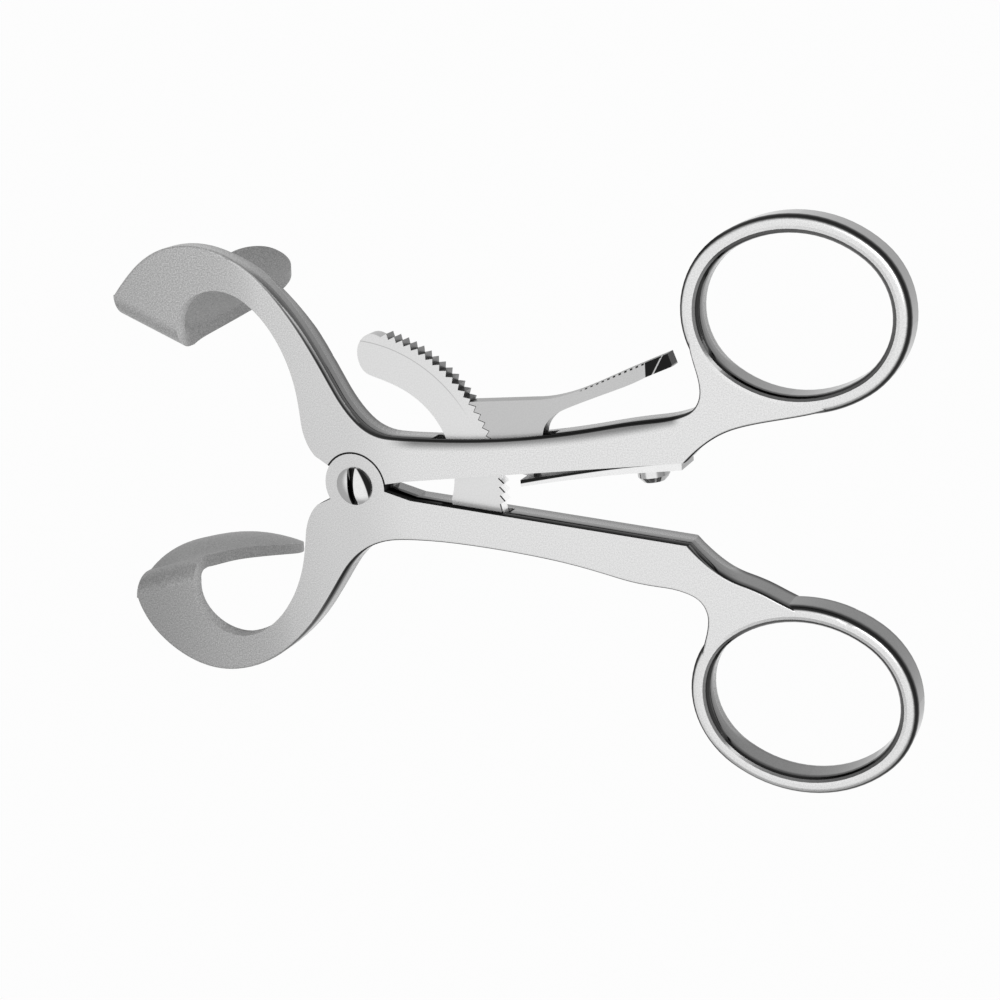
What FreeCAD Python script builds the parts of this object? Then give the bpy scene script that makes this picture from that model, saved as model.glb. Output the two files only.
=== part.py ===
import FreeCAD, Part
import math
import os

# Ring-handled ratchet mouth gag, modelled open as in use.
# Millimetres. Origin on the pivot axis, in the front face of the arms.
# +Z is the pivot axis toward the screw head, +X runs to the finger rings,
# +Y to the upper arm. Both arms share one half-arm drawing, mirrored.

V = FreeCAD.Vector
Z_AXIS = V(0, 0, 1)
ORIGIN = V(0, 0, 0)

# driving dimensions
ARM_THICK = 4.7
BLADE_THICK = 2.0
BOSS_RADIUS = 4.5
PIVOT_HOLE = 1.5
LAP_GAP = 0.04
RUN_FIT = 0.05

RING_TILT = -4.0
RING_WIDTH = 2.3
RING_ROUND = 0.9
BORE_ROUND = 1.0
EDGE_ROUND = 0.35

HANDLE_OUTER_END = (46.6, 11.5)
NECK_CORNER = (-6.0, 3.5)
# each arm's jaw turn, handle and neck thickening, bend shift, plate lean,
# inner handle edge, ring centre and the half sizes of the finger hole
UPPER = {"skew": -3.8, "swell": 0.25, "neck": 0.2, "bend": 0.85, "lean": 0.6,
         "inner": ((7.5, 1.0), (47.1, 5.7)), "ring": (61.0, 24.25), "hole": (11.65, 9.65)}
LOWER = {"skew": 3.8, "swell": 0.65, "neck": 0.55, "bend": -0.25, "lean": -1.2,
         "inner": ((8.3, 1.6), (47.1, 5.1)), "ring": (61.1, 24.55), "hole": (12.25, 10.35)}

PLATE_LENGTH = 29.5
PLATE_THICK = 1.8
BEND_RADIUS = 3.0
BEND_POINT = (-29.0, 16.0)
BEND_SLOPE = -20.3
PLATE_LEFT = -37.4
PLATE_RIGHT = -27.2

TOOTH_PITCH = 3.2
TOOTH_ROOT = 20.95
TOOTH_TIP = 21.65
TOOTH_LEAN = 0.62
BAR_THICK = 2.0
BAR_FIRST_ANGLE = -4.6
BAR_TEETH = 25
PAWL_TOOTH_FIT = 0.12
SLOT_FIT = 0.1

PAWL_PIN_AT = (23.4, 5.15)
PAWL_PIN_RADIUS = 0.8
BAR_RIVETS = ((16.0, -4.15), (20.2, -4.5))
RIVET_RADIUS = 0.65

LEAF_THICK = 0.9
LEAF_WIDTH = 4.6
LEAF_START_X = 24.7
LEAF_END_X = 46.7
LEAF_DROP = 0.8
LEAF_SCREW_X = 42.0
SCREW_HEAD_HIGH = 1.6

MID_Z = -ARM_THICK / 2


def arc_from(start, heading, end):
    # arc that leaves start along heading and reaches end
    chord = end - start
    along = V(chord).normalize()
    side = heading - along * heading.dot(along)
    if side.Length < 1e-6:
        return Part.makeLine(start, end)
    half = math.atan2(side.Length, heading.dot(along)) / 2
    middle = (start + end) * 0.5 + side.normalize() * (chord.Length / 2 * math.tan(half))
    return Part.Arc(start, middle, end).toShape()


def two_arcs(a, b, out, into):
    # a pair of tangent arcs from a to b with the given headings
    v = b - a
    t = out + into
    bend = 2 * (1 - out.dot(into))
    if bend < 1e-6:
        reach = v.dot(v) / (4 * v.dot(into))
    else:
        reach = (math.sqrt(v.dot(t) ** 2 + bend * v.dot(v)) - v.dot(t)) / bend
    meet = (a + b + (out - into) * reach) * 0.5
    return [arc_from(a, out, meet), arc_from(b, into * -1, meet)]


def smooth(points):
    # one flowing edge through the points, as a chain of tangent arcs
    places = [V(x, y, 0) for x, y in points]
    guide = Part.BSplineCurve()
    guide.interpolate(places)
    headings = [guide.tangent(guide.parameter(p))[0] for p in places]
    edges = []
    for i in range(len(places) - 1):
        edges += two_arcs(places[i], places[i + 1], headings[i], headings[i + 1])
    return edges


def oval(centre, half, tilt):
    # eight arcs that follow an ellipse
    corners = [(half[0], 0), (0, half[1]), (-half[0], 0), (0, -half[1])]
    headings = [V(0, 1, 0), V(-1, 0, 0), V(0, -1, 0), V(1, 0, 0)]
    edges = []
    for i in range(4):
        a, b = V(*corners[i], 0), V(*corners[(i + 1) % 4], 0)
        edges += two_arcs(a, b, headings[i], headings[(i + 1) % 4])
    ring = Part.Wire(Part.__sortEdges__(edges))
    ring.rotate(ORIGIN, Z_AXIS, tilt)
    ring.translate(V(centre[0], centre[1], 0))
    return ring


def line(a, b):
    return Part.makeLine(V(a[0], a[1], 0), V(b[0], b[1], 0))


def arc(a, b, c):
    return Part.Arc(V(a[0], a[1], 0), V(b[0], b[1], 0), V(c[0], c[1], 0)).toShape()


def turned(points, angle):
    c = math.cos(math.radians(angle))
    s = math.sin(math.radians(angle))
    return [(c * x - s * y, s * x + c * y) for x, y in points]


def polar(radius, angle):
    a = math.radians(angle)
    return (radius * math.cos(a), radius * math.sin(a))


def polygon(points):
    return Part.makePolygon([V(x, y, 0) for x, y in list(points) + [points[0]]])


def closed(edges):
    return Part.Wire(Part.__sortEdges__(edges))


def shifted(points, by):
    return [(x + by[0], y + by[1]) for x, y in points]


def slab(outline, top, bottom):
    face = Part.Face(outline)
    face.translate(V(0, 0, bottom))
    return face.extrude(V(0, 0, top - bottom))


def cylinder(radius, top, bottom, at=(0, 0)):
    return Part.makeCylinder(radius, top - bottom, V(at[0], at[1], bottom), Z_AXIS)


def bend_at(side, along, out):
    # along the bend line, then outward from the plate's inner face
    a = math.radians(BEND_SLOPE)
    out = out + side["bend"]
    x = BEND_POINT[0] + along * math.cos(a) - out * math.sin(a)
    y = BEND_POINT[1] + along * math.sin(a) + out * math.cos(a)
    return (x, y)


def bend_edge(side, x):
    # where the flat blade ends and the bend starts, at a given x
    start = bend_at(side, 0, BEND_RADIUS)
    return (x, start[1] + (x - start[0]) * math.tan(math.radians(BEND_SLOPE)))


def outer_edges(side):
    # jaw back, neck, handle and the crotch before the finger ring, in one flow
    jaw = [bend_edge(side, PLATE_LEFT), (-36.1, 24.8), (-31.2, 29.15), (-24.4, 31.0), (-17.1, 29.3)]
    grow = side["neck"]
    neck = shifted([(-10.4, 23.5), (-4.4, 15.1), (-0.9, 10.0)], (grow, grow * 0.7))
    handle = shifted([(3.0, 7.3), (8.2, 6.55), (21.5, 7.05), (34.0, 8.8), (41.0, 10.15)], (0, side["swell"]))
    crotch = shifted([(0, 0), (1.75, 0.95), (2.6, 2.5), (2.6, 4.4), (1.9, 7.2), (1.6, 10.6)], HANDLE_OUTER_END)
    return smooth(turned(jaw + neck, side["skew"]) + handle + crotch)


def inner_edges(side):
    points = [NECK_CORNER, (-7.25, 5.3), (-8.35, 10.9), (-10.1, 16.8), (-13.9, 22.2), (-18.5, 24.9),
              (-23.0, 24.6), (-26.5, 21.8), bend_edge(side, PLATE_RIGHT)]
    return smooth(turned(points, side["skew"]))


def belly_edges(side):
    start = side["inner"][1]
    bulge = shifted([(0, 0), (2.1, 2.0), (5.0, 3.9), (8.5, 5.1)], start)
    meet = shifted([(-1.5, -12.6), (4.0, -11.2)], side["ring"])
    return smooth(bulge + meet)


def arm_outline(side):
    outer = outer_edges(side)
    inner = inner_edges(side)
    belly = belly_edges(side)
    start, end = side["inner"]
    neck = turned([(-3.4, 2.1), NECK_CORNER], side["skew"])
    tips = turned([bend_edge(side, PLATE_RIGHT), bend_edge(side, PLATE_LEFT)], side["skew"])
    into_ring = shifted([(1.6, 10.6)], HANDLE_OUTER_END)[0]
    out_of_ring = shifted([(4.0, -11.2)], side["ring"])[0]
    straight = [
        line(into_ring, out_of_ring),
        line(end, start),
        line(start, (3.6, 0.3)),
        line((3.6, 0.3), (0.0, 0.0)),
        line((0.0, 0.0), neck[0]),
        line(neck[0], neck[1]),
        line(tips[0], tips[1]),
    ]
    return closed(outer + inner + belly + straight), outer + belly


def arm_slab(side):
    outline, rounded = arm_outline(side)
    blade = soften(slab(outline, 0, -ARM_THICK), EDGE_ROUND, following(rounded))
    half = (side["hole"][0] + RING_WIDTH, side["hole"][1] + RING_WIDTH)
    ring = soften(slab(oval(side["ring"], half, RING_TILT), 0, -ARM_THICK), RING_ROUND, level)
    return blade.fuse(ring)


def ring_bore(side):
    # the plug that leaves a bore with rounded mouths
    flare = 0.5
    ring = side["ring"]
    hole = side["hole"]
    half = (hole[0] + BORE_ROUND, hole[1] + BORE_ROUND)
    plug = slab(oval(ring, hole, RING_TILT), 1, -ARM_THICK - 1)
    for face, away in ((0, 1), (-ARM_THICK, -1)):
        steps = []
        for k in range(5):
            a = math.radians(90 * k / 4)
            grow = BORE_ROUND * (1 - math.cos(a))
            wire = oval(ring, (hole[0] + grow, hole[1] + grow), RING_TILT)
            wire.translate(V(0, 0, face - away * BORE_ROUND * (1 - math.sin(a))))
            steps.append(wire)
        top = oval(ring, half, RING_TILT)
        top.translate(V(0, 0, face + away * flare))
        plug = plug.fuse([Part.makeLoft(steps, True, True), Part.makeLoft([steps[-1], top], True, True)])
    return plug


def blade_back_relief(skew):
    back = [(-6.0, -ARM_THICK), (-19.0, -BLADE_THICK - 0.15), (-30.0, -BLADE_THICK),
            (-50.0, -BLADE_THICK), (-50.0, -9.0), (-6.0, -9.0)]
    face = Part.Face(Part.makePolygon([V(x, 6, z) for x, z in back + [back[0]]]))
    wedge = face.extrude(V(0, 40, 0))
    wedge.rotate(ORIGIN, Z_AXIS, skew)
    return wedge


def plate_section(z, left, middle, right, thick):
    def edge(points):
        a, b, c = [V(x, y, z) for x, y in points]
        return Part.Arc(a, b, c).toShape()

    a = math.atan2(left[1] - right[1], right[0] - left[0])
    shift = (math.sin(a) * thick, math.cos(a) * thick)
    inner = [left, middle, right]
    outer = [(x + shift[0], y + shift[1]) for x, y in inner]
    sides = [Part.makeLine(V(*inner[i], z), V(*outer[i], z)) for i in (0, 2)]
    return closed([edge(inner), sides[1], edge(outer[::-1]), sides[0]])


def plate_planform():
    # the plate's outline seen square on: straight left side, round end, waisted right side
    side = [(PLATE_LEFT, -3.0), (PLATE_LEFT + 0.05, -8.0), (-37.0, -16.0), (-36.4, -23.0)]
    end = [(-35.0, -27.6), (-31.6, -PLATE_LENGTH), (-27.4, -28.7), (-24.4, -26.2)]
    back = [(-23.2, -23.4), (-23.5, -19.5), (-24.7, -15.5), (-26.2, -10.5), (PLATE_RIGHT, -3.0)]
    flat = smooth(side + end + back)
    corners = [(PLATE_RIGHT, -3.0), (PLATE_RIGHT, 1.0), (PLATE_LEFT, 1.0), (PLATE_LEFT, -3.0)]
    face = Part.Face(closed(flat + [line(a, b) for a, b in zip(corners, corners[1:])]))
    face.rotate(ORIGIN, V(1, 0, 0), 90)
    return face.extrude(V(0, 60, 0))


def bend(side):
    t = PLATE_THICK
    r = BEND_RADIUS
    b = BLADE_THICK
    inner = r - b
    diag = math.sqrt(0.5)

    def at(out, z):
        x, y = bend_at(side, -12, out)
        return V(x, y, z)

    def curve(a, b, c):
        return Part.Arc(at(*a), at(*b), at(*c)).toShape()

    def run(*stops):
        return [Part.makeLine(at(*a), at(*b)) for a, b in zip(stops, stops[1:])]

    outer = curve((r, 0), (r - r * diag, -r + r * diag), (0, -r))
    throat = curve((t, -b - inner), (t + inner - inner * diag, -b - inner + inner * diag), (t + inner, -b))
    down = run((0, -r), (0, -4), (t, -4), (t, -b - inner))
    across = run((t + inner, -b), (r, -b), (r, 0))
    start, end = bend_at(side, -12, 0), bend_at(side, 4, 0)
    face = Part.Face(closed([outer, throat] + down + across))
    return face.extrude(V(end[0] - start[0], end[1] - start[1], 0))


def tooth_plate(side):
    t = PLATE_THICK
    shift = side["bend"]

    def section(z, left, middle, right, thick):
        out = shift + side["lean"] * (-4.0 - z) / 25.5
        left, middle, right = shifted([left, middle, right], (0, out))
        return plate_section(z, left, middle, right, thick)

    left, right = shifted([bend_at(side, -10.1, 0), bend_at(side, 3.2, 0)], (0, -shift))
    middle = ((left[0] + right[0]) / 2, (left[1] + right[1]) / 2 - 0.02)
    sections = [
        section(-4.0, left, middle, right, t),
        section(-10.0, (-38.5, 18.6), (-32.3, 16.9), (-25.5, 16.7), t),
        section(-16.0, (-38.5, 19.4), (-31.5, 17.5), (-23.6, 18.4), t * 0.95),
        section(-20.0, (-38.5, 20.4), (-30.5, 18.4), (-22.0, 19.8), t * 0.88),
        section(-24.0, (-38.5, 21.7), (-30.5, 19.7), (-22.0, 21.1), t * 0.8),
        section(-27.0, (-38.5, 23.2), (-30.5, 21.2), (-22.0, 22.5), t * 0.72),
        section(-30.0, (-38.5, 25.2), (-30.5, 23.2), (-22.0, 24.5), t * 0.65),
    ]
    sheet = Part.makeLoft(sections, True, False)
    plate = sheet.fuse(bend(side)).common(plate_planform())
    plate.rotate(ORIGIN, Z_AXIS, side["skew"])
    return plate


def soften(shape, radius, pick):
    edges = [e for e in shape.Edges if pick(e)]
    return shape.makeFillet(radius, edges)


def level(edge):
    return edge.BoundBox.ZLength < 0.01


def following(chain):
    spots = [e.CenterOfMass for e in chain]

    def pick(edge):
        c = edge.CenterOfMass
        return level(edge) and any(math.hypot(c.x - s.x, c.y - s.y) < 1e-4 for s in spots)

    return pick


def arm_blank(side):
    blank = arm_slab(side).cut(ring_bore(side))
    blank = blank.cut(blade_back_relief(side["skew"]))
    return blank.fuse(tooth_plate(side))


def lap_cut(blank, boss_in_front):
    split = MID_Z
    if boss_in_front:
        boss = cylinder(BOSS_RADIUS, 0, split + LAP_GAP / 2)
        recess = cylinder(BOSS_RADIUS + RUN_FIT, split + LAP_GAP / 2, -ARM_THICK - 1)
    else:
        boss = cylinder(BOSS_RADIUS, split - LAP_GAP / 2, -ARM_THICK)
        recess = cylinder(BOSS_RADIUS + RUN_FIT, 1, split - LAP_GAP / 2)
    return blank.cut(recess).fuse(boss)


def mirrored(shape):
    return shape.mirror(ORIGIN, V(0, 1, 0))


def tooth_points(first, count, grow):
    points = []
    for i in range(count):
        valley = first + i * TOOTH_PITCH
        points.append(polar(TOOTH_ROOT + grow, valley))
        points.append(polar(TOOTH_TIP + grow, valley + (1 - TOOTH_LEAN) * TOOTH_PITCH))
    points.append(polar(TOOTH_ROOT + grow, first + count * TOOTH_PITCH))
    return points


def bar_slot_half():
    return BAR_THICK / 2 + SLOT_FIT


def ratchet_bar():
    teeth = tooth_points(BAR_FIRST_ANGLE, BAR_TEETH, 0)
    head = teeth[-1]
    edges = [line(a, b) for a, b in zip(teeth, teeth[1:])]
    edges += smooth([head, (2.9, 20.4), (1.75, 19.0), (1.65, 17.0), (2.4, 15.6), (4.0, 14.85),
                     (8.0, 13.3), (12.0, 10.05), (14.25, 5.3), (13.9, -1.4)])
    edges.append(line((13.9, -1.4), (13.9, -5.6)))
    edges.append(line((13.9, -5.6), (21.7, -5.6)))
    edges.append(line((21.7, -5.6), teeth[0]))
    bar = slab(closed(edges), MID_Z + BAR_THICK / 2, MID_Z - BAR_THICK / 2)
    for at in BAR_RIVETS:
        bar = bar.cut(cylinder(RIVET_RADIUS, 0, -ARM_THICK, at))
    return bar


def lower_arm():
    arm = mirrored(lap_cut(arm_blank(LOWER), True))
    slot = slab(polygon([(13.6, 2.0), (22.1, 2.0), (22.1, -5.7), (13.6, -5.7)]),
                MID_Z + bar_slot_half(), MID_Z - bar_slot_half())
    arm = arm.cut(slot)
    arm = arm.cut(cylinder(PIVOT_HOLE + RUN_FIT, 1, -ARM_THICK))
    for at in BAR_RIVETS:
        arm = arm.cut(cylinder(RIVET_RADIUS, 1, -ARM_THICK - 1, at))
    return arm


def upper_slot():
    half = bar_slot_half()
    box = polygon([(11.6, -1.0), (25.9, 1.5), (29.2, 6.0), (29.2, 10.0), (11.6, 10.0)])
    return slab(box, MID_Z + half, MID_Z - half)


def leaf_y(x, drop):
    (x0, y0), (x1, y1) = UPPER["inner"]
    return y0 + (x - x0) * (y1 - y0) / (x1 - x0) - drop


def upper_arm():
    arm = lap_cut(arm_blank(UPPER), False)
    arm = arm.cut(upper_slot())
    arm = arm.cut(cylinder(PIVOT_HOLE, 1, -ARM_THICK - 1))
    arm = arm.cut(cylinder(PAWL_PIN_RADIUS, 1, -ARM_THICK - 1, PAWL_PIN_AT))
    return arm.cut(spring_screw_bore())


def handle_direction():
    (x0, y0), (x1, y1) = UPPER["inner"]
    d = V(x1 - x0, y1 - y0, 0)
    return d.normalize()


def handle_normal():
    d = handle_direction()
    return V(-d.y, d.x, 0)


def screw_seat():
    return V(LEAF_SCREW_X, leaf_y(LEAF_SCREW_X, 0), MID_Z)


def spring_screw_bore():
    return Part.makeCylinder(0.8, 3.1, screw_seat() + handle_normal() * -0.1, handle_normal())


def spring_screw():
    n = handle_normal()
    top = screw_seat() - n * LEAF_THICK
    shank = Part.makeCylinder(0.8, 2.8 + LEAF_THICK, top, n)
    high = SCREW_HEAD_HIGH
    head = Part.makeCylinder(2.05, high * 0.55, top, n * -1)
    crown = Part.makeCone(2.05, 1.45, high * 0.45, top - n * (high * 0.55), n * -1)
    head = head.fuse(crown)
    across = Part.makeBox(4.4, 0.7, 0.5, V(-2.2, -high - 0.1, -0.25))
    across.rotate(ORIGIN, Z_AXIS, math.degrees(math.atan2(n.y, n.x)) - 90)
    across.translate(top)
    return head.fuse(shank).removeSplitter().cut(across)


def leaf_spring():
    x0 = LEAF_START_X
    x2 = LEAF_SCREW_X - 2.2
    mid = (x0 + x2) / 2
    upper = [(x2, leaf_y(x2, 0)), (mid, leaf_y(mid, LEAF_DROP * 0.35)), (x0, leaf_y(x0, LEAF_DROP))]
    lower = [(x, y - LEAF_THICK) for x, y in upper]
    end = (LEAF_END_X, leaf_y(LEAF_END_X, 0))
    wire = Part.Wire([
        arc(upper[2], upper[1], upper[0]),
        line(upper[0], end),
        line(end, (end[0], end[1] - LEAF_THICK)),
        line((end[0], end[1] - LEAF_THICK), lower[0]),
        arc(lower[0], lower[1], lower[2]),
        line(lower[2], upper[2]),
    ])
    leaf = slab(wire, MID_Z + LEAF_WIDTH / 2, MID_Z - LEAF_WIDTH / 2)
    n = handle_normal()
    hole = Part.makeCylinder(0.8, 4, screw_seat() - n * 2, n)
    return leaf.cut(hole)


def pawl_outline():
    top = [(26.4, 12.6), (30.4, 13.2), (35.6, 15.1), (40.6, 17.3)]
    under = [(42.0, 16.05), (35.6, 13.4), (32.0, 12.0), (29.7, 10.9), (28.2, 9.5), (27.7, 8.2)]
    foot = leaf_y(25.6, LEAF_DROP * 0.8)
    corners = [(45.0, 19.15), (45.6, 17.55)]
    below = [(26.8, 5.2), (26.0, foot), (25.1, foot), (22.4, leaf_y(22.4, -0.4)), (19.7, 7.4), (16.6, 11.95)]
    tail = [top[-1]] + corners + [under[0]]
    base = [under[-1]] + below + [top[0]]
    straight = [line(a, b) for a, b in list(zip(tail, tail[1:])) + list(zip(base, base[1:]))]
    return closed(smooth(top) + smooth(under) + straight)


def pawl_lever():
    half = BAR_THICK / 2
    blank = slab(pawl_outline(), MID_Z + half, MID_Z - half)
    tool_points = tooth_points(BAR_FIRST_ANGLE, BAR_TEETH, PAWL_TOOTH_FIT)
    tool = slab(polygon([(0.0, 0.0)] + tool_points), 1, -ARM_THICK - 1)
    pawl = blank.cut(tool)
    pawl = pawl.cut(cylinder(PAWL_PIN_RADIUS + 0.04, 1, -ARM_THICK - 1, PAWL_PIN_AT))
    return max(pawl.Solids, key=lambda s: s.Volume)


def pawl_pin():
    return cylinder(PAWL_PIN_RADIUS, 0, -ARM_THICK, PAWL_PIN_AT)


def bar_rivet(at):
    return cylinder(RIVET_RADIUS, 0, -ARM_THICK, at)


def pivot_screw():
    shank = cylinder(PIVOT_HOLE, 0, -ARM_THICK)
    dome = Part.makeSphere(4.1, V(0, 0, -2.9))
    head = dome.common(cylinder(2.6, 3, 0))
    slot = Part.makeBox(0.72, 8, 2, V(-0.36, -4, 0.35))
    slot.rotate(ORIGIN, Z_AXIS, 6)
    return head.fuse(shank).removeSplitter().cut(slot)


def main():
    os.makedirs("parts", exist_ok=True)
    near, far = BAR_RIVETS
    nodes = {
        "lower_arm": lower_arm(),
        "upper_arm": upper_arm(),
        "pivot_screw": pivot_screw(),
        "ratchet_bar": ratchet_bar(),
        "bar_rivet_near": bar_rivet(near),
        "bar_rivet_far": bar_rivet(far),
        "pawl_lever": pawl_lever(),
        "pawl_pin": pawl_pin(),
        "leaf_spring": leaf_spring(),
        "spring_screw": spring_screw(),
    }
    for name, shape in nodes.items():
        solid = shape.Solids[0] if len(shape.Solids) == 1 else shape
        print(name, len(shape.Solids), shape.isValid(), round(shape.Volume, 2))
        solid.exportStep("parts/" + name + ".step")


main()
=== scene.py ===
"""Procedural finishes with painted shade and reflections, floor, light and camera for the mouth gag's
solids. All lengths are in metres.
"""

import math

import bpy
from mathutils import Matrix, Vector


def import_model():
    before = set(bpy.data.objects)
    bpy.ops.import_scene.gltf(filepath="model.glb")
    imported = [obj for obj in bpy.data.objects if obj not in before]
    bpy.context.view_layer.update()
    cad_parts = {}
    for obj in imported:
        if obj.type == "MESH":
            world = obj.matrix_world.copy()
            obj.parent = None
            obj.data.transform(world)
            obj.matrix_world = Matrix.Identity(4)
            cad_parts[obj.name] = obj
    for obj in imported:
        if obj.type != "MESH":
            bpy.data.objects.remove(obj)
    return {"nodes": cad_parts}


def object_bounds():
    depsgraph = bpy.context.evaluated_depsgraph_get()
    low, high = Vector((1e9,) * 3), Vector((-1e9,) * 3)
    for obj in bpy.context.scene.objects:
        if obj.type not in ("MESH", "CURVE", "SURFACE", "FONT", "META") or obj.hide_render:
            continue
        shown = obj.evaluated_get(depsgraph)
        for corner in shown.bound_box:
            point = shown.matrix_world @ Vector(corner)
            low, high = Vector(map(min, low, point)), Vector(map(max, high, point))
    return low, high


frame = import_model()
cad_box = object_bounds()
nodes = frame["nodes"]

MM = 0.001


def mm(*values):
    # millimetres as metres
    return tuple(value * MM for value in values)


# base tones of the steel, as linear greys; the wall tones are a painted reflection, darker than the faces
FACE = 0.76
BOSS = 0.67
WALL = 0.21
# painted shade: the jaws darken toward their tips, the lower jaw is darker than the upper, and the deep
# plates darker still
UPPER_JAW, UPPER_JAW_TIP_SHADE = 0.71, 0.65
LOWER_JAW, LOWER_JAW_TIP_SHADE = 0.64, 0.50
PLATE_SHADE = 0.40
DARK = 0.015
BAR, BAR_WALL = 0.75, 0.45
# a painted highlight on the bar's tooth flanks below the arm
BAR_HIGHLIGHT = 0.97
BAR_LINE = 0.25
PAWL, PAWL_WALL = 0.55, 0.30
SCREW, PIVOT_SCREW_WALL, SPRING_SCREW_WALL = 0.76, 0.45, 0.40
LEAF, LEAF_WALL = 0.82, 0.35

FACE_ROUGH, WALL_ROUGH, JAW_ROUGH = 0.25, 0.09, 0.56
RATCHET_ROUGH = 0.32
PIVOT_SCREW_ROUGH, SPRING_SCREW_ROUGH = 0.10, 0.12
LEAF_ROUGH = 0.22

GRAIN_SCALE, GRAIN_DETAIL, GRAIN_BREAKUP = 5200.0, 3.0, 0.6
ARM_GRAIN, RATCHET_GRAIN, LEAF_GRAIN = mm(0.005, 0.004, 0.003)
SPRING_SCREW_GRAIN, PIVOT_SCREW_GRAIN = mm(0.002, 0.001)
ARM_SPECKLE, JAW_SPECKLE, SMALL_SPECKLE = 0.16, 0.30, 0.08
SPECKLE_NOISE = (0.3, 0.7)

# size of the normal's z, from walls (low) to front and back faces (high)
FLAT = (0.50, 0.92)
STEEP = (0.30, 0.60)
ROUNDED = (0.78, 0.95)
OUTER_WALL = (0.50, 0.80)

# the arms, in the solids' frame; each pair is where a change of finish or of painted shade starts and where
# it ends
THICK = 4.7 * MM
JAW_X = mm(-3, -22)
JAW_TIP_X = mm(-20, -38)
BOSS_X = mm(-1, 10)
RING_X = mm(47, 54)
PLATE_Z = mm(-3.6, -0.3)
EDGE_DEPTH = mm(1.4, 0.4)
EDGE_SHADE = 0.93
FORK_REACH = mm(8, 16)
FORK_Y = mm(3.2, 3.6)
LAP_REACH = mm(4.72, 4.79)
LAP_Z = mm(-2.6, -2.4)

# the walls' shaded rounding: its depth and the solids' own fillet, its slope at the fillet and at the face
EASE, FILLET = mm(2.1, 0.35)
EASE_SLOPE, FACE_SLOPE = 1.9, 0.7

# the upper handle's outer edge, y = a + b x + c x x, and the painted reflection along it, a dark band on the
# face and on the wall
OUTLINE = (0.0066, -0.0431, 3.105)
HANDLE_START_X = mm(5, 10)
HANDLE_END_X = mm(45.5, 47)
FACE_BAND_INSIDE = mm(-0.1, 1.2)
FACE_BAND_Z = mm(-0.8, -0.4)
FACE_BAND_SHADE = 0.70
WALL_BAND_START_X = mm(22, 29)
WALL_BAND_INSIDE = mm(0.4, 0.7)
WALL_BAND_SHADE = 0.80

# the painted reflection on the lower arm's wall in front of the bar's foot
FOOT_START_X = mm(12.4, 12.7)
FOOT_END_X = mm(21.3, 21.7)
FOOT_Y = mm(-6.5, -6.0)
FOOT_Z = mm(-1.8, -1.4)

# the bar: where the teeth start, which flank takes the painted shade, and the ground line
TEETH_REACH = mm(20.4, 20.7)
TEETH_END_SLOPE = 3.75
TEETH_END = mm(0, 0.4)
FLANK_X, FLANK_Y = -0.5, 0.86
FLANK_LEAN = (0.25, 0.50)
LIT_FLANK_SHADE = 0.55
ABOVE_ARM_Y = mm(9, 11)
TOOTH_LINE_Z = mm(-1.75, -1.65)
LINE_REACH = 19.85 * MM
LINE_HALF = mm(0.03, 0.10)
LINE_Y = mm(9, 14)
LINE_SHADE = 0.45

# the pawl's thumb pad and the nicks along its tail
PAD_X = mm(41.95, 42.05)
GROOVE_SLOPE = -0.55
GROOVES_PER_METRE = 500.0
GROOVE = (0.88, 0.94)
TAIL_SLOPE = 0.425
TAIL_OFFSET = 0.06 * MM
RIM_DEPTH = mm(0.18, 0.30)
NICKS_X = mm(33.0, 33.6)
NICKS_PER_METRE = 1300.0
NICK = (0.40, 0.50)

# the pivot screw's dome, the painted shade of its slot, and the painted dark reflection in its far flank
DOME_CURVE = 75.0
SLOT_HALF = mm(0.44, 0.47)
FLANK_CENTRE = mm(-2.72, -0.99)
FLANK_REACH = mm(4.82, 4.95)

# the leaf's painted shadow: the leaf's slope, and the bow that leaves the handle before BOW_X
BOW_X = 39.8 * MM
BOW_SCALE, BOW_POWER = 66.2, 1.5
LEAF_TOP, BOW_DROP = mm(0.11, 0.8)
LEAF_SLOPE = 0.1187
SHADOW_DEPTH = 0.12 * MM
SHADOW_GROWTH = 0.026
SHADOW_EDGE = mm(-0.06, 0.02)

# the floor: a disc with a curled rim, painted pale near the part and dark farther out, a painted shade
FLOOR_RADIUS, FLOOR_RIM = 0.9, 0.45
FLOOR_GAP = 0.2 * MM
FLOOR_SIDES, RIM_STEPS = 64, 9
FLOOR_FAR = (0.11, 0.24)
FLOOR_TONES = (0.8, 0.02)
FAR_MIRROR = 0.6
WHITE = 0.98

# the world: a bright ceiling over a dimmer ring
CEILING = (0.64, 0.84)
CEILING_LIGHT = (0.50, 1.1)

LAMP_AT = (0.33, 0.28, 0.85)
LAMP_SIZE, LAMP_POWER = 0.45, 1.6

# the camera fitted to the photograph
CAMERA_TILT, CAMERA_TURN, CAMERA_ROLL = 30.43, 34.60, 34.88
CAMERA_AWAY, CAMERA_RIGHT, CAMERA_DOWN = mm(239.2, 19.64, 1.89)
CAMERA_FOCUS = 1.7717
CAMERA_CLIP = 10 * MM
SENSOR = 36.0


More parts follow.
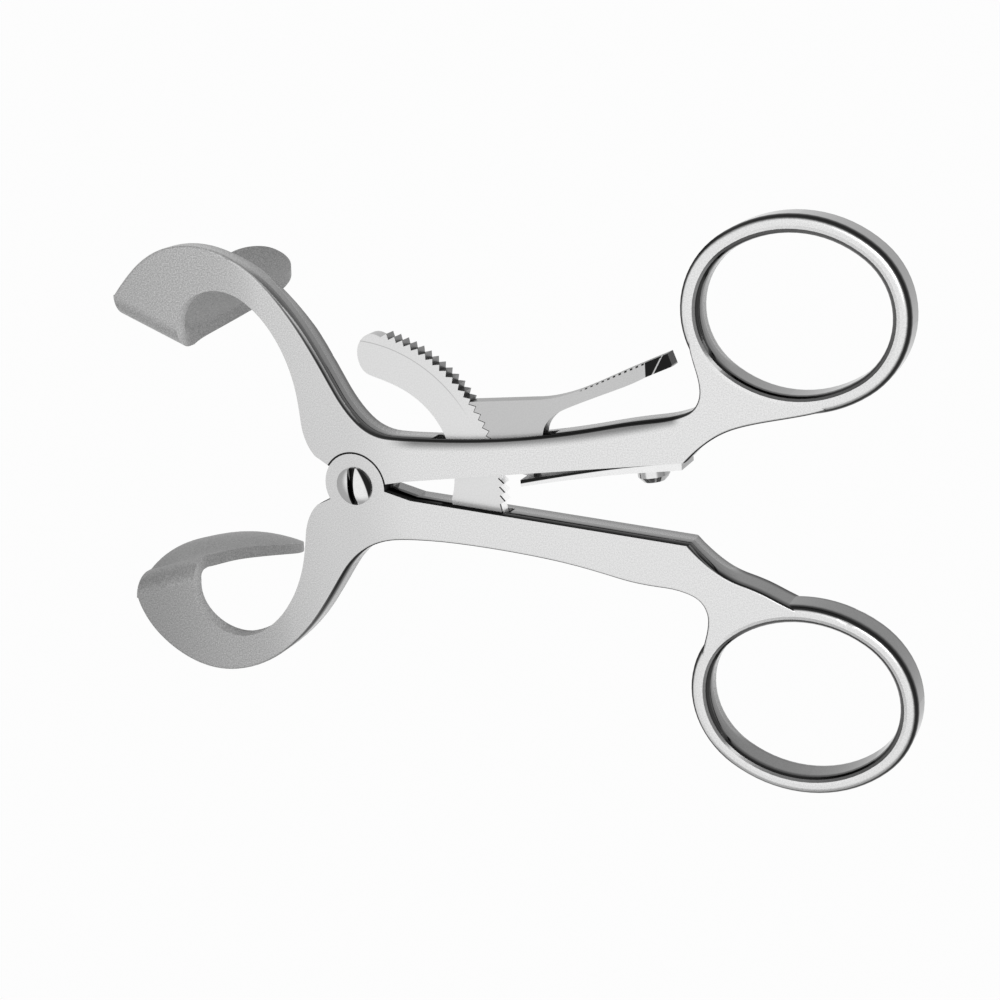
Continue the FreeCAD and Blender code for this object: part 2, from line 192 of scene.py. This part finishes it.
class Nodes:
    """Short calls for building a node tree."""

    def __init__(self, tree):
        self.tree = tree

    def add(self, kind, **values):
        node = self.tree.nodes.new(kind)
        for key, value in values.items():
            node.inputs[key].default_value = value
        return node

    def link(self, start, end):
        self.tree.links.new(start, end)

    def feed(self, value, socket):
        # another node's output, or a number, which a colour socket takes as a grey
        if isinstance(value, bpy.types.NodeSocket):
            self.link(value, socket)
        elif socket.type == "RGBA":
            socket.default_value = (value, value, value, 1.0)
        else:
            socket.default_value = value

    def split(self, vector):
        node = self.add("ShaderNodeSeparateXYZ")
        self.link(vector, node.inputs[0])
        return [node.outputs[axis] for axis in "XYZ"]

    def coordinates(self):
        coords = self.add("ShaderNodeTexCoord")
        self.place = coords.outputs["Object"]
        self.x, self.y, self.z = self.split(self.place)
        self.normal = self.split(coords.outputs["Normal"])

    def math(self, operation, *values):
        node = self.add("ShaderNodeMath")
        node.operation = operation
        for value, socket in zip(values, node.inputs):
            self.feed(value, socket)
        return node.outputs[0]

    def plus(self, a, b):
        return self.math("ADD", a, b)

    def minus(self, a, b):
        return self.math("SUBTRACT", a, b)

    def magnitude(self, value):
        return self.math("ABSOLUTE", value)

    def product(self, *values):
        result = values[0]
        for value in values[1:]:
            result = self.math("MULTIPLY", result, value)
        return result

    def length(self, a, b):
        return self.math("SQRT", self.plus(self.product(a, a), self.product(b, b)))

    def reach(self):
        # distance from the pivot axis
        return self.length(self.x, self.y)

    def ramp(self, value, span, to_low, to_high):
        node = self.add("ShaderNodeMapRange")
        node.interpolation_type = "SMOOTHSTEP"
        self.link(value, node.inputs["Value"])
        names = ("From Min", "From Max", "To Min", "To Max")
        for name, number in zip(names, (*span, to_low, to_high)):
            node.inputs[name].default_value = number
        return node.outputs["Result"]

    def rise(self, value, span, top=1.0):
        return self.ramp(value, span, 0.0, top)

    def fall(self, value, span, top=1.0):
        return self.ramp(value, span, top, 0.0)

    def invert(self, mask):
        return self.fall(mask, (0.0, 1.0))

    def mix(self, factor, a, b):
        # colour a where the factor is 0, colour b where it is 1
        node = self.add("ShaderNodeMix")
        node.data_type = "RGBA"
        colours = [socket for socket in node.inputs if socket.type == "RGBA"]
        for value, socket in zip((a, b), colours):
            self.feed(value, socket)
        self.link(factor, node.inputs["Factor"])
        return next(socket for socket in node.outputs if socket.type == "RGBA")


class Steel(Nodes):
    """A steel finish in the making: tint() lays a tone, such as a painted shade or reflection, over the
    colour so far, where the mask is 1.
    """

    def __init__(self, name, grain):
        self.mat = bpy.data.materials.new(name)
        self.mat.use_nodes = True
        super().__init__(self.mat.node_tree)
        self.shader = self.tree.nodes["Principled BSDF"]
        self.shader.inputs["Metallic"].default_value = 1.0
        self.coordinates()
        # both are 1 on the front and back faces and 0 on the walls
        self.upright = self.magnitude(self.normal[2])
        self.flat = self.rise(self.upright, FLAT)
        self.colour = None
        self.noise = self.add("ShaderNodeTexNoise", Scale=GRAIN_SCALE, Detail=GRAIN_DETAIL,
                              Roughness=GRAIN_BREAKUP)
        self.grain = self.add("ShaderNodeBump", Strength=1.0, Distance=grain)
        self.link(self.place, self.noise.inputs["Vector"])
        self.link(self.noise.outputs["Fac"], self.grain.inputs["Height"])
        self.link(self.grain.outputs["Normal"], self.shader.inputs["Normal"])

    def tint(self, mask, tone):
        self.colour = self.mix(mask, self.colour, tone)

    def speckled(self, amount):
        # the fine grain of a blasted or brushed face
        shade = self.ramp(self.noise.outputs["Fac"], SPECKLE_NOISE, 1.0 - amount, 1.0)
        node = self.add("ShaderNodeHueSaturation")
        self.link(self.colour, node.inputs["Color"])
        self.link(shade, node.inputs["Value"])
        return node.outputs["Color"]

    def bulge(self, height, strength=None):
        # a bump under the grain
        bump = self.add("ShaderNodeBump", Strength=1.0, Distance=1.0)
        if strength is not None:
            self.link(strength, bump.inputs["Strength"])
        self.link(height, bump.inputs["Height"])
        self.link(bump.outputs["Normal"], self.grain.inputs["Normal"])

    def finished(self):
        self.link(self.colour, self.shader.inputs["Base Color"])
        return self.mat


class ArmSteel(Steel):
    """Satin front and back faces, polished walls and rings, matt blasted jaws, with painted reflections
    along the walls and edges and painted shade on the jaws, in the fork and round the boss.
    """

    def __init__(self, name, lapped):
        super().__init__(name, ARM_GRAIN)
        self.jaw = self.rise(self.x, JAW_X)
        # the walls' darker tone is a painted reflection
        self.colour = self.mix(self.flat, WALL, self.mix(self.rise(self.x, BOSS_X), BOSS, FACE))
        self.dark_edges()
        # painted shade on the jaws: darker toward the tips and on the deep tooth plates
        jaw, tip_shade = (UPPER_JAW, UPPER_JAW_TIP_SHADE) if lapped else (LOWER_JAW, LOWER_JAW_TIP_SHADE)
        blasted = self.mix(self.rise(self.x, JAW_TIP_X), jaw, tip_shade)
        self.tint(self.jaw, self.mix(self.fall(self.z, PLATE_Z), blasted, PLATE_SHADE))
        self.fork_shadow()
        if lapped:
            self.lap_gap_shadow()
            self.handle_band()
        else:
            self.bar_foot_reflection()
        self.eased_edges()
        self.colour = self.speckled(ARM_SPECKLE)
        self.tint(self.jaw, self.speckled(JAW_SPECKLE))
        polish = self.ramp(self.flat, (0.0, 1.0), WALL_ROUGH, FACE_ROUGH)
        rough = self.math("MAXIMUM", polish, self.rise(self.jaw, (0.0, 1.0), JAW_ROUGH))
        self.link(rough, self.shader.inputs["Roughness"])

    def dark_edges(self):
        # a painted reflection: the dark line that polished walls mirror beside the faces
        half = THICK / 2
        span = (half - EDGE_DEPTH[0], half - EDGE_DEPTH[1])
        near_face = self.rise(self.magnitude(self.plus(self.z, half)), span, EDGE_SHADE)
        self.tint(self.product(near_face, self.fall(self.upright, ROUNDED)), DARK)

    def fork_shadow(self):
        # painted shade where the handles meet and their walls mirror each other
        near_pivot = self.fall(self.reach(), FORK_REACH)
        between = self.fall(self.magnitude(self.y), FORK_Y)
        self.tint(self.product(near_pivot, between, self.fall(self.upright, STEEP)), DARK)

    def lap_gap_shadow(self):
        # a painted shadow in the gap round the lower arm's boss
        self.tint(self.product(self.fall(self.reach(), LAP_REACH), self.rise(self.z, LAP_Z)), DARK)

    def handle_band(self):
        # a painted reflection of the dark side of the room in the wheel's broad rounding of the handle's
        # outer edge
        start, slope, curve = OUTLINE
        bow = self.plus(self.product(self.x, self.x, curve), self.product(self.x, slope))
        inside = self.minus(self.plus(bow, start), self.y)
        run = self.product(self.rise(self.x, HANDLE_START_X), self.fall(self.x, HANDLE_END_X))
        face_band = self.product(run, self.fall(inside, FACE_BAND_INSIDE, FACE_BAND_SHADE),
                                 self.rise(self.z, FACE_BAND_Z))
        self.tint(face_band, DARK)
        near_edge = self.fall(inside, WALL_BAND_INSIDE)
        wall_band = self.product(run, self.rise(self.x, WALL_BAND_START_X, WALL_BAND_SHADE), near_edge,
                                 self.fall(self.upright, OUTER_WALL))
        self.tint(wall_band, DARK)

    def bar_foot_reflection(self):
        # a painted reflection: the wall in front of the bar's foot mirrors the bar's dark underside
        along = self.product(self.rise(self.x, FOOT_START_X), self.fall(self.x, FOOT_END_X))
        front = self.product(self.rise(self.y, FOOT_Y), self.rise(self.z, FOOT_Z))
        self.tint(self.product(along, front, self.fall(self.upright, ROUNDED)), DARK)

    def easing(self, depth):
        # a height whose slope grows toward the face, and runs back over the fillet's own turn
        wall = self.math("MINIMUM", self.math("MAXIMUM", depth, 0.0), EASE - FILLET)
        curl = self.math("MAXIMUM", self.minus(depth, EASE - FILLET), 0.0)
        curl = self.math("MINIMUM", curl, FILLET)
        bow = self.product(wall, wall, 0.5 * EASE_SLOPE / (EASE - FILLET))
        bend = self.product(curl, curl, -0.5 * (EASE_SLOPE - FACE_SLOPE) / FILLET)
        return self.plus(bow, self.plus(self.product(curl, EASE_SLOPE), bend))

    def eased_edges(self):
        # the polishing wheel's rounding of the walls, but for the jaws and rings
        front = self.easing(self.plus(self.z, EASE))
        back = self.easing(self.minus(EASE - THICK, self.z))
        amount = self.product(self.invert(self.jaw), self.fall(self.x, RING_X))
        self.bulge(self.product(self.plus(front, back), -1.0), amount)


class PlainSteel(Steel):
    """One tone on the faces and a darker one on the walls, a painted reflection."""

    def __init__(self, name, tone, wall, rough, grain):
        super().__init__(name, grain)
        self.colour = self.mix(self.flat, wall, tone)
        self.colour = self.speckled(SMALL_SPECKLE)
        self.shader.inputs["Roughness"].default_value = rough


def bar_steel(name):
    steel = PlainSteel(name, BAR, BAR_WALL, RATCHET_ROUGH, RATCHET_GRAIN)
    x, y, reach = steel.x, steel.y, steel.reach()
    # painted shade in the tooth gaps above the arm; below it a painted highlight on the flanks, with a
    # painted dark line at the front
    before_end = steel.minus(steel.product(x, TEETH_END_SLOPE), y)
    toothed = steel.product(steel.rise(reach, TEETH_REACH), steel.rise(before_end, TEETH_END))
    walls = steel.product(toothed, steel.fall(steel.upright, STEEP))
    above = steel.rise(y, ABOVE_ARM_Y)
    lean = steel.plus(steel.product(steel.normal[0], FLANK_X), steel.product(steel.normal[1], FLANK_Y))
    steel.tint(steel.product(walls, above, steel.ramp(lean, FLANK_LEAN, LIT_FLANK_SHADE, 1.0)), DARK)
    below = steel.product(walls, steel.invert(above))
    steel.tint(below, BAR_HIGHLIGHT)
    steel.tint(steel.product(below, steel.rise(steel.z, TOOTH_LINE_Z)), DARK)
    # a fine ground line inside the teeth
    off_line = steel.magnitude(steel.minus(reach, LINE_REACH))
    on_line = steel.fall(off_line, LINE_HALF, LINE_SHADE)
    steel.tint(steel.product(on_line, steel.rise(y, LINE_Y)), BAR_LINE)
    return steel.finished()


def pawl_steel(name):
    steel = PlainSteel(name, PAWL, PAWL_WALL, RATCHET_ROUGH, RATCHET_GRAIN)
    x, y = steel.x, steel.y
    # the dark thumb pad at the tail's end, with bright lands between its grooves
    along = steel.plus(x, steel.product(y, GROOVE_SLOPE))
    wave = steel.math("FRACT", steel.product(along, GROOVES_PER_METRE))
    steel.tint(steel.product(steel.rise(x, PAD_X), steel.fall(wave, GROOVE)), DARK)
    # dark nicks along the tail's upper edge
    under_top = steel.minus(steel.plus(steel.product(x, TAIL_SLOPE), TAIL_OFFSET), y)
    rim = steel.product(steel.fall(under_top, RIM_DEPTH), steel.rise(x, NICKS_X))
    wave = steel.math("FRACT", steel.product(x, NICKS_PER_METRE))
    steel.tint(steel.product(rim, steel.fall(wave, NICK)), DARK)
    return steel.finished()


def pivot_screw_steel(name):
    steel = PlainSteel(name, SCREW, PIVOT_SCREW_WALL, PIVOT_SCREW_ROUGH, PIVOT_SCREW_GRAIN)
    reach = steel.reach()
    steel.bulge(steel.product(reach, reach, DOME_CURVE))
    # painted shade in the slot and just beyond its cut edges
    steel.tint(steel.fall(steel.magnitude(steel.x), SLOT_HALF), DARK)
    # a painted reflection: the dark side of the room in the dome's far flank
    offset = [steel.minus(a, b) for a, b in zip((steel.x, steel.y), FLANK_CENTRE)]
    steel.tint(steel.rise(steel.length(*offset), FLANK_REACH), DARK)
    return steel.finished()


def spring_screw_steel(name):
    return PlainSteel(name, SCREW, SPRING_SCREW_WALL, SPRING_SCREW_ROUGH, SPRING_SCREW_GRAIN).finished()


def leaf_steel(name):
    steel = PlainSteel(name, LEAF, LEAF_WALL, LEAF_ROUGH, LEAF_GRAIN)
    # a painted shadow where the leaf bows away from the handle
    left = steel.minus(BOW_X, steel.x)
    bow = steel.math("POWER", steel.math("MAXIMUM", steel.product(left, BOW_SCALE), 0.0), BOW_POWER)
    drop = steel.minus(LEAF_TOP, steel.product(bow, BOW_DROP))
    top = steel.plus(drop, steel.product(steel.x, LEAF_SLOPE))
    depth = steel.plus(SHADOW_DEPTH, steel.product(left, SHADOW_GROWTH))
    edge = steel.minus(steel.minus(top, depth), steel.y)
    steel.tint(steel.fall(edge, SHADOW_EDGE), DARK)
    return steel.finished()


def paint(node, mat):
    for slot in nodes[node].material_slots:
        slot.material = mat


def floor_mesh():
    # a round sweep: polished steel mirrors the lit table round the part
    turns = [math.radians(90 * step / RIM_STEPS) for step in range(RIM_STEPS + 1)]
    profile = [(FLOOR_RADIUS + FLOOR_RIM * math.sin(a), FLOOR_RIM - FLOOR_RIM * math.cos(a)) for a in turns]
    top = cad_box[0][2] - FLOOR_GAP
    points = []
    for radius, height in profile:
        for k in range(FLOOR_SIDES):
            turn = 2 * math.pi * k / FLOOR_SIDES
            points.append((radius * math.cos(turn), radius * math.sin(turn), top + height))
    faces = [tuple(range(FLOOR_SIDES))]
    for row in range(len(profile) - 1):
        for k in range(FLOOR_SIDES):
            a = row * FLOOR_SIDES + k
            b = row * FLOOR_SIDES + (k + 1) % FLOOR_SIDES
            faces.append((a, b, b + FLOOR_SIDES, a + FLOOR_SIDES))
    mesh = bpy.data.meshes.new("floor")
    mesh.from_pydata(points, [], faces)
    mesh.polygons.foreach_set("use_smooth", [True] * len(mesh.polygons))
    return mesh


def floor_paint():
    # white to the camera and in mirrors, a plain diffuse floor to the light; farther out its colour and its
    # mirrored white are painted darker, a painted shade
    mat = bpy.data.materials.new("floor")
    mat.use_nodes = True
    mat.node_tree.nodes.clear()
    tree = Nodes(mat.node_tree)
    tree.coordinates()
    out = tree.add("ShaderNodeOutputMaterial")
    lit = tree.add("ShaderNodeBsdfDiffuse")
    far = tree.rise(tree.reach(), FLOOR_FAR)
    tree.link(tree.mix(far, *FLOOR_TONES), lit.inputs["Color"])
    white = tree.add("ShaderNodeEmission", Color=(1.0, 1.0, 1.0, 1.0), Strength=1.0)
    path = tree.add("ShaderNodeLightPath")
    mirrored = tree.math("MAXIMUM", path.outputs["Is Glossy Ray"], path.outputs["Is Transmission Ray"])
    mirrored = tree.product(mirrored, tree.ramp(far, (0.0, 1.0), 1.0, FAR_MIRROR))
    seen = tree.math("MAXIMUM", path.outputs["Is Camera Ray"], mirrored)
    mix = tree.add("ShaderNodeMixShader")
    tree.link(tree.product(seen, WHITE), mix.inputs[0])
    tree.link(lit.outputs[0], mix.inputs[1])
    tree.link(white.outputs[0], mix.inputs[2])
    tree.link(mix.outputs[0], out.inputs[0])
    return mat


def place_in_scene(name, data):
    obj = bpy.data.objects.new(name, data)
    bpy.context.scene.collection.objects.link(obj)
    return obj


def floor():
    obj = place_in_scene("floor", floor_mesh())
    obj.data.materials.append(floor_paint())


def lamp():
    data = bpy.data.lights.new("key", "AREA")
    data.shape = "DISK"
    data.size = LAMP_SIZE
    data.energy = LAMP_POWER
    obj = place_in_scene("key", data)
    obj.location = LAMP_AT
    obj.rotation_euler = Vector(LAMP_AT).to_track_quat("Z", "Y").to_euler()


def camera():
    tilt, turn, roll = (math.radians(a) for a in (CAMERA_TILT, CAMERA_TURN, CAMERA_ROLL))
    toward = Vector((math.sin(tilt) * math.cos(turn), math.sin(tilt) * math.sin(turn), math.cos(tilt)))
    down = Vector((math.cos(tilt) * math.cos(turn), math.cos(tilt) * math.sin(turn), -math.sin(tilt)))
    side = Vector((-math.sin(turn), math.cos(turn), 0.0))
    right = down * math.cos(roll) - side * math.sin(roll)
    up = down * math.sin(roll) + side * math.cos(roll)
    place = toward * CAMERA_AWAY + right * CAMERA_RIGHT - up * CAMERA_DOWN
    data = bpy.data.cameras.new("camera")
    data.sensor_width = SENSOR
    data.lens = SENSOR * CAMERA_FOCUS
    data.clip_start = CAMERA_CLIP
    obj = place_in_scene("camera", data)
    rows = [[right[i], up[i], toward[i], place[i]] for i in range(3)] + [[0, 0, 0, 1]]
    obj.matrix_world = Matrix(rows)
    bpy.context.scene.camera = obj


def world():
    # a soft lit ceiling over a dim ring, which keeps polished walls darker than the faces, together with
    # their painted darker tone
    studio = bpy.data.worlds.new("studio")
    bpy.context.scene.world = studio
    studio.use_nodes = True
    tree = Nodes(studio.node_tree)
    coords = tree.add("ShaderNodeTexCoord")
    height = tree.split(coords.outputs["Generated"])[2]
    back = studio.node_tree.nodes["Background"]
    back.inputs["Color"].default_value = (1.0, 1.0, 1.0, 1.0)
    tree.link(tree.ramp(height, CEILING, *CEILING_LIGHT), back.inputs["Strength"])


# the two arms' steels are one finish, differing only in painted shade and reflections
forged = ArmSteel("lower_arm_steel", lapped=False).finished()
lapped = ArmSteel("upper_arm_steel", lapped=True).finished()
paint("lower_arm", forged)
paint("upper_arm", lapped)
for pin in ("bar_rivet_near", "bar_rivet_far", "pawl_pin"):
    paint(pin, forged)
paint("ratchet_bar", bar_steel("ratchet_steel"))
paint("pawl_lever", pawl_steel("pawl_steel"))
paint("pivot_screw", pivot_screw_steel("screw_steel"))
paint("spring_screw", spring_screw_steel("small_screw_steel"))
paint("leaf_spring", leaf_steel("spring_steel"))

floor()
lamp()
world()
camera()
bpy.context.scene.view_settings.view_transform = "Standard"
